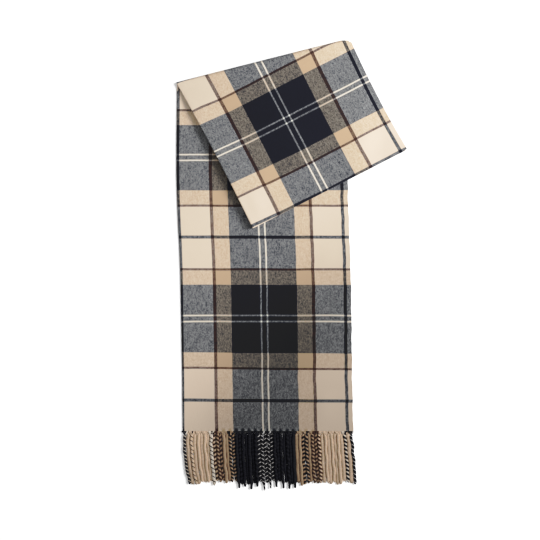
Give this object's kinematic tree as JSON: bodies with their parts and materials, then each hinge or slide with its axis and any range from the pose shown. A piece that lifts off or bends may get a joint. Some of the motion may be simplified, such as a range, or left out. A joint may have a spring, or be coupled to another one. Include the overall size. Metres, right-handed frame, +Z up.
{
  "type": "tartan blanket scarf",
  "caption": "Tartan blanket scarf folded in half along its length and laid flat, its upper end turned down over itself at a slant, with a twisted cord fringe along the hem.",
  "frame": {"origin": "under the middle of the whole outline, on the surface that the scarf lies on", "axes": "+Y up the long run, away from the fringe; +X to the side of the selvedges; +Z up, out of the surface"},
  "size_m": [0.4772, 0.928, 0.0162],
  "materials": {
    "tartan_cloth": "brushed twill in cream, tan, brown and black, matt with a soft nap",
    "fringe_cord": "two-ply twisted yarn in the warp's colours, matt"
  },
  "bodies": {
    "root": {"long_run": "tartan_cloth", "turned_run": "tartan_cloth", "hidden_layers": "tartan_cloth", "fringe_upper": "fringe_cord", "fringe_under": "fringe_cord"}
  },
  "joints": []
}
